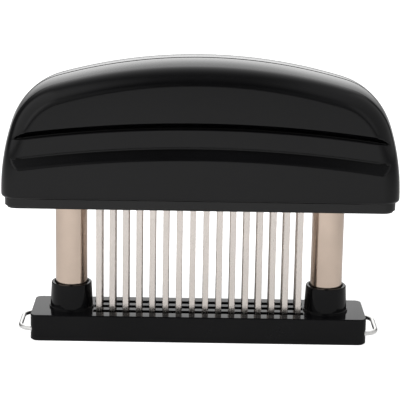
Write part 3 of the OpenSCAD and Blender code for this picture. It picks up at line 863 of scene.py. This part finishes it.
def baseWidth(p, width):
    b = baseBar
    if p.z < b["stepTop"]:
        return b["fine"]  # the step round the lower edge
    if p.z > b["rimFrom"]:
        return b["rim"]
    if p.z > b["barTop"]:
        return b["fine"]
    if hypot(abs(p.x) - tubeX, p.y) < b["collarRadius"]:
        return b["collar"]  # the collar's foot, close to the slots
    if abs(p.x) < b["slots"][0] and abs(p.y) < b["slots"][1]:
        return b["mouth"]  # mouths of the blade slots
    if b["pockets"][0] < p.z < b["pockets"][1]:
        return b["mouth"]  # mouths of the clip pockets
    return width


dress("baseBar", "base_bar", "basePlastic", "base", baseBar["edge"], widthAt=baseWidth)
print("base bar made")


# tubes and what they hold

# name, CAD node, finish, body and rounding of the edges in mm
onTubes = (
    ("Tube", "tube", "tubeSteel", "base", 0.12),
    ("Plug", "tube_plug", "darkPlastic", "base", 0.2),
    ("StopRing", "stop_ring", "springSteel", "base", 0.15),
    ("Bush", "guide_bush", "bushPlastic", "grip", 0.15),
    ("SpringCap", "spring_cap", "darkPlastic", "grip", 0.25),
)
inGrip = (
    ("carrier", "blade_carrier", "darkPlastic", "grip", 0.3),
    ("clampPlate", "blade_clamp_plate", "bladeSteel", "grip", 0.15),
    ("crestDowels", "crest_dowels", "springSteel", "grip", 0.25),
)
for side in ("left", "right"):
    for name, node, *rest in onTubes:
        dress(side + name, side + "_" + node, *rest, segments=2)
for piece in inGrip:
    dress(*piece, segments=2)
print("tubes and inner pieces made")


# what repeats: blades, springs and screws, by Geometry Nodes

def newTree(name, sizes):
    tree = bpy.data.node_groups.new(name, "GeometryNodeTree")
    tree.interface.new_socket("Geometry", in_out="INPUT", socket_type="NodeSocketGeometry")
    for label, (kind, value) in sizes.items():
        tree.interface.new_socket(label, in_out="INPUT", socket_type="NodeSocket" + kind)
    tree.interface.new_socket("Geometry", in_out="OUTPUT", socket_type="NodeSocketGeometry")
    return tree, addNode(tree, "NodeGroupInput"), addNode(tree, "NodeGroupOutput")


def finishTree(tree, geometry, end, finish):
    real = addNode(tree, "GeometryNodeRealizeInstances")
    painted = addNode(tree, "GeometryNodeSetMaterial")
    painted.inputs["Material"].default_value = finishes[finish]
    tree.links.new(geometry, real.inputs[0])
    tree.links.new(real.outputs[0], painted.inputs["Geometry"])
    tree.links.new(painted.outputs[0], end.inputs[0])


def grow(name, tree, sizes, start=None):
    # runs a tree on a small starting mesh and keeps the result as a plain mesh
    holder = bpy.data.objects.new(name, start or bpy.data.meshes.new(name + "Start"))
    scene.collection.objects.link(holder)
    modifier = holder.modifiers.new("grow", "NODES")
    modifier.node_group = tree
    inputs = [s for s in tree.interface.items_tree if s.item_type == "SOCKET" and s.in_out == "INPUT"]
    sockets = {s.name: s.identifier for s in inputs}
    for label, (kind, value) in sizes.items():
        modifier[sockets[label]] = value
    mesh = bakeModifiers(holder)
    mesh.name = name
    return mesh


blades = {
    "count": 16, "pitch": 5.0, "rowPitch": 6.1, "width": 2.2, "thickness": 1.2,
    "tipZ": 1.5, "topZ": 71.5, "headWidth": 3.6, "headHeight": 2.5, "edgeRound": 0.12,
    "ground": 0.25,  # share of the thickness that is left at the tip
}


def bladeMesh():
    # one flat blade: wide head, slanted tip ground to an edge
    b = blades
    half, head, neck = b["width"] / 2, b["headWidth"] / 2, b["topZ"] - b["headHeight"]
    outline = [(-half, b["tipZ"]), (half, b["tipZ"] + b["width"]), (half, neck), (head, neck), (head, b["topZ"]),
               (-head, b["topZ"]), (-head, neck), (-half, neck)]
    mesh = bpy.data.meshes.new("oneBlade")
    shape = bmesh.new()
    face = shape.faces.new([shape.verts.new((x * mm, -b["thickness"] / 2 * mm, z * mm)) for x, z in outline])
    grown = bmesh.ops.extrude_face_region(shape, geom=[face])
    fresh = [v for v in grown["geom"] if isinstance(v, bmesh.types.BMVert)]
    bmesh.ops.translate(shape, verts=fresh, vec=(0, b["thickness"] * mm, 0))
    for vert in shape.verts:
        if vert.co.z < (b["tipZ"] + b["width"] + 0.1) * mm:
            vert.co.y *= b["ground"]
    bmesh.ops.recalc_face_normals(shape, faces=shape.faces)
    bmesh.ops.bevel(shape, geom=list(shape.edges), offset=b["edgeRound"] * mm, segments=1, affect="EDGES",
                    clamp_overlap=True)
    shape.to_mesh(mesh)
    shape.free()
    return mesh


def bladeTree(model):
    sizes = {"Count": ("Int", blades["count"]), "Pitch": ("Float", blades["pitch"] * mm), "Row": ("Float", 0.0)}
    tree, start, end = newTree("bladeRow", sizes)
    line = addNode(tree, "GeometryNodeMeshLine")
    offset = addNode(tree, "ShaderNodeCombineXYZ")
    first = addNode(tree, "ShaderNodeCombineXYZ")
    gaps = addNode(tree, "ShaderNodeMath", operation="SUBTRACT")
    gaps.inputs[1].default_value = 1.0
    reach = addNode(tree, "ShaderNodeMath", operation="MULTIPLY")
    back = addNode(tree, "ShaderNodeMath", operation="MULTIPLY")
    back.inputs[1].default_value = -0.5
    tree.links.new(start.outputs["Count"], gaps.inputs[0])
    tree.links.new(gaps.outputs[0], reach.inputs[0])
    tree.links.new(start.outputs["Pitch"], reach.inputs[1])
    tree.links.new(reach.outputs[0], back.inputs[0])
    tree.links.new(back.outputs[0], first.inputs["X"])
    tree.links.new(start.outputs["Row"], first.inputs["Y"])
    tree.links.new(start.outputs["Pitch"], offset.inputs["X"])
    tree.links.new(start.outputs["Count"], line.inputs["Count"])
    tree.links.new(first.outputs[0], line.inputs["Start Location"])
    tree.links.new(offset.outputs[0], line.inputs["Offset"])
    source = addNode(tree, "GeometryNodeObjectInfo")
    source.inputs["Object"].default_value = model
    place = addNode(tree, "GeometryNodeInstanceOnPoints")
    tree.links.new(line.outputs[0], place.inputs["Points"])
    tree.links.new(source.outputs["Geometry"], place.inputs["Instance"])
    finishTree(tree, place.outputs[0], end, "bladeSteel")
    return tree, sizes


oneBlade = bpy.data.objects.new("oneBlade", bladeMesh())
tree, sizes = bladeTree(oneBlade)
for side, row in (("front", -1), ("middle", 0), ("rear", 1)):
    mesh = grow(side + "Blades", tree, {**sizes, "Row": ("Float", row * blades["rowPitch"] * mm)})
    newPiece(side + "Blades", mesh, "bladeSteel", "grip", (side + "_blades",))
bpy.data.objects.remove(oneBlade)
print("blades made")


springs = {
    "radius": 4.0, "wire": 1.2, "turns": 22.0, "bottom": 7.6, "top": 91.7,
    "anchor": 7.0,  # height of the end that stays put
}


def springTree():
    s = springs
    sizes = {
        "Turns": ("Float", s["turns"]), "Radius": ("Float", s["radius"] * mm), "Wire": ("Float", s["wire"] / 2 * mm),
        "Height": ("Float", (s["top"] - s["bottom"]) * mm), "At": ("Vector", (0.0, 0.0, s["bottom"] * mm)),
    }
    tree, start, end = newTree("coil", sizes)
    coil = addNode(tree, "GeometryNodeCurveSpiral")
    coil.inputs["Resolution"].default_value = 20
    ring = addNode(tree, "GeometryNodeCurvePrimitiveCircle")
    ring.inputs["Resolution"].default_value = 10
    swept = addNode(tree, "GeometryNodeCurveToMesh")
    swept.inputs["Fill Caps"].default_value = True
    moved = addNode(tree, "GeometryNodeTransform")
    smooth = addNode(tree, "GeometryNodeSetShadeSmooth")
    tree.links.new(start.outputs["Turns"], coil.inputs["Rotations"])
    tree.links.new(start.outputs["Radius"], coil.inputs["Start Radius"])
    tree.links.new(start.outputs["Radius"], coil.inputs["End Radius"])
    tree.links.new(start.outputs["Height"], coil.inputs["Height"])
    tree.links.new(start.outputs["Wire"], ring.inputs["Radius"])
    tree.links.new(coil.outputs[0], swept.inputs["Curve"])
    tree.links.new(ring.outputs[0], swept.inputs["Profile Curve"])
    tree.links.new(swept.outputs[0], moved.inputs["Geometry"])
    tree.links.new(start.outputs["At"], moved.inputs["Translation"])
    tree.links.new(moved.outputs[0], smooth.inputs["Geometry"])
    finishTree(tree, smooth.outputs[0], end, "springSteel")
    return tree, sizes


tree, sizes = springTree()
for side, way in (("left", -1), ("right", 1)):
    at = (way * tubeX * mm, 0.0, springs["bottom"] * mm)
    name, node = side + "Spring", side + "_spring"
    coil = grow(name, tree, {**sizes, "At": ("Vector", at)})
    spring = newPiece(name, coil, "springSteel", "base", (node,))
    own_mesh(spring)
print("springs made")


screws = {
    "shank": 1.4, "head": 2.5, "headHeight": 1.5, "point": 0.7, "plain": 0.9,
    "crossWidth": 0.55, "crossLength": 3.2, "crossDepth": 0.75, "threadDepth": 0.18, "threadPitch": 0.6,
    "clampScrews": {"node": "clamp_screws", "headZ": 73.5, "length": 9.0, "down": 1,
                    "at": [(x, y) for x in (-33, 0, 33) for y in (-10.5, 10.5)]},
    "carrierScrews": {"node": "carrier_screws", "headZ": 54.3, "length": 11.2, "down": -1,
                      "at": [(x, y) for x in (-17, 17) for y in (-10.5, 10.5)]},
    "shellScrews": {"node": "shell_screws", "headZ": 54.3, "length": 11.2, "down": -1,
                    "at": [(x, y) for x in (-63.7, 63.7) for y in (-9, 9)]},
}


def screwMesh(length, down):
    # one screw with its head's underside at the origin and its shank pointing down, or up when down is -1
    s = screws
    skin = Skin()
    h = -length + s["point"]
    profile = [(0, -length), (s["shank"] * 0.6, -length), (s["shank"], h)]
    while h + s["threadPitch"] < -s["plain"]:
        profile += [(s["shank"] - s["threadDepth"], h + s["threadPitch"] / 2), (s["shank"], h + s["threadPitch"])]
        h += s["threadPitch"]
    profile += [(s["shank"], 0), (s["head"], 0), (s["head"], s["headHeight"] * 0.45)]
    for i in range(1, 6):
        a = pi / 2 * i / 5
        profile.append((s["head"] * (0.72 + 0.28 * cos(a)), s["headHeight"] * (0.45 + 0.55 * sin(a))))
    profile.append((0, s["headHeight"]))
    lathe(skin, profile, (0, 0, 0), sides=24)
    body = bpy.data.objects.new("screwBlank", skin.mesh("screwBlank"))
    cross = Skin()
    for a, b in ((s["crossLength"] / 2, s["crossWidth"] / 2), (s["crossWidth"] / 2, s["crossLength"] / 2)):
        block(cross, (-a, -b, s["headHeight"] - s["crossDepth"]), (a, b, s["headHeight"] + 1))
    cutter = bpy.data.objects.new("cross", cross.mesh("cross"))
    for each in (body, cutter):
        scene.collection.objects.link(each)
    cut = body.modifiers.new("recess", "BOOLEAN")
    cut.object = cutter
    cut.operation = "DIFFERENCE"
    cut.solver = "EXACT"
    cut.use_self = True
    mesh = bakeModifiers(body)
    bpy.data.objects.remove(cutter)
    if down < 0:
        mesh.transform(Matrix.Rotation(pi, 4, "X"))
    return mesh


def screwTree(model):
    sizes = {"Height": ("Float", 0.0)}
    tree, start, end = newTree("screwSet", sizes)
    lift = addNode(tree, "GeometryNodeTransform")
    shift = addNode(tree, "ShaderNodeCombineXYZ")
    place = addNode(tree, "GeometryNodeInstanceOnPoints")
    source = addNode(tree, "GeometryNodeObjectInfo")
    source.inputs["Object"].default_value = model
    tree.links.new(start.outputs["Height"], shift.inputs["Z"])
    tree.links.new(start.outputs[0], lift.inputs["Geometry"])
    tree.links.new(shift.outputs[0], lift.inputs["Translation"])
    tree.links.new(lift.outputs[0], place.inputs["Points"])
    tree.links.new(source.outputs["Geometry"], place.inputs["Instance"])
    finishTree(tree, place.outputs[0], end, "screwSteel")
    return tree, sizes


for name in ("clampScrews", "carrierScrews", "shellScrews"):
    group = screws[name]
    model = bpy.data.objects.new("oneScrew", screwMesh(group["length"], group["down"]))
    tree, sizes = screwTree(model)
    spots = bpy.data.meshes.new(name + "Spots")
    spots.from_pydata([(x * mm, y * mm, 0) for x, y in group["at"]], [], [])
    mesh = grow(name, tree, {"Height": ("Float", group["headZ"] * mm)}, spots)
    newPiece(name, mesh, "screwSteel", "grip", (group["node"],))
    bpy.data.objects.remove(model)
print("screws made")


# wire clips

clips = {
    "wire": 1.7, "z": 4.2, "legIn": 7.2, "legOut": 7.2, "legY": 5.95, "bowY": 10.5,
    "bowX": 67.05, "bowRadius": 5.0, "bendRadius": 3.0, "sides": 16,
}


def arcOf(cx, cy, r, start, end, steps):
    return [(cx + r * cos(start + (end - start) * i / steps), cy + r * sin(start + (end - start) * i / steps))
            for i in range(steps + 1)]


def clipPath():
    c = clips
    bend = acos(1 - (c["bowY"] - c["legY"]) / (2 * c["bendRadius"]))
    bendX = tubeX + c["legOut"]
    wideX = bendX + 2 * c["bendRadius"] * sin(bend)
    half = [(tubeX - c["legIn"], c["legY"])]
    half += arcOf(bendX, c["legY"] + c["bendRadius"], c["bendRadius"], -pi / 2, bend - pi / 2, 8)
    half += arcOf(wideX, c["bowY"] - c["bendRadius"], c["bendRadius"], pi / 2 + bend, pi / 2, 8)[1:]
    half += arcOf(c["bowX"] - c["bowRadius"], c["bowY"] - c["bowRadius"], c["bowRadius"], pi / 2, 0, 14)
    return half + [(x, -y) for x, y in reversed(half)]


def clipSkin(side):
    skin = Skin()
    path = [Vector((side * x, y, clips["z"])) for x, y in clipPath()]
    r, sides = clips["wire"] / 2, clips["sides"]
    rings = []
    for k, p in enumerate(path):
        ahead = (path[min(k + 1, len(path) - 1)] - path[max(k - 1, 0)]).normalized()
        sideways = ahead.cross(Vector((0, 0, 1)))
        ring = []
        for i in range(sides):
            a = 2 * pi * i / sides
            aim = sideways * cos(a) + Vector((0, 0, 1)) * sin(a)
            ring.append((skin.point(*(p + aim * r)), tuple(aim)))
        rings.append(ring)
    for ringA, ringB in zip(rings, rings[1:]):
        for i in range(sides):
            j = (i + 1) % sides
            (a, na), (b, nb), (c, nc), (d, nd) = ringA[i], ringB[i], ringB[j], ringA[j]
            skin.face((a, b, c, d), (na, nb, nc, nd))
    start = (path[0] - path[1]).normalized()
    end = (path[-1] - path[-2]).normalized()
    skin.flat([p for p, _ in rings[0]], tuple(start))
    skin.flat([p for p, _ in reversed(rings[-1])], tuple(end))
    return skin


for side, way in (("left", -1), ("right", 1)):
    mesh = clipSkin(way).mesh(side + "Clip")
    newPiece(side + "Clip", mesh, "clipWire", side + "_clip", (side + "_wire_clip",))
print("wire clips made")
